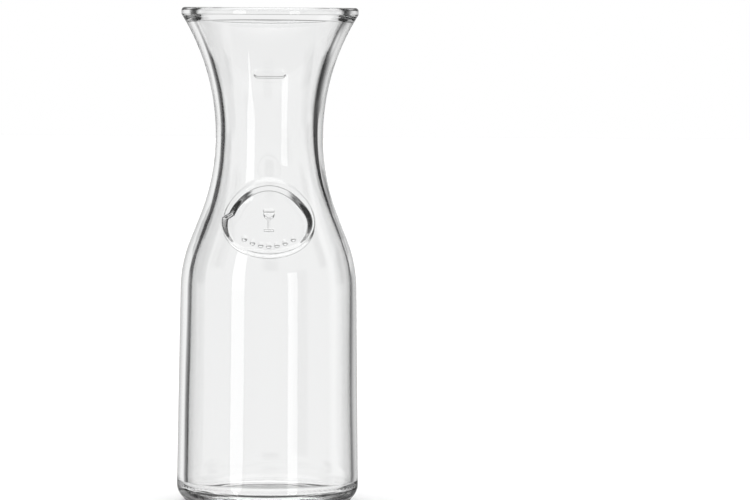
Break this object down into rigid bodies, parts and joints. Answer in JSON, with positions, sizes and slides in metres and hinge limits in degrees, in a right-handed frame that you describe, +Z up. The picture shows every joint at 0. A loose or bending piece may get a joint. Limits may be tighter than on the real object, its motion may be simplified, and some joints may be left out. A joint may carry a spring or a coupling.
{
  "type": "wine decanter",
  "caption": "Clear glass one-litre wine decanter with a straight body, sloping shoulder, waisted neck, flared pouring lip and an oval seal on the shoulder.",
  "frame": {"origin": "centre of the foot, on the surface the decanter stands on", "axes": "+Z up along the neck; -Y towards the side with the seal and the capacity line"},
  "size_m": [0.099, 0.099, 0.27],
  "materials": {
    "clear_glass": "polished, clear and colourless"
  },
  "bodies": {
    "root": {"glass_vessel": "clear_glass", "seal_pad": "clear_glass", "seal_border": "clear_glass", "seal_emblem": "clear_glass", "seal_beads": "clear_glass", "fill_line": "clear_glass", "heel_stipple": "clear_glass"}
  },
  "joints": []
}
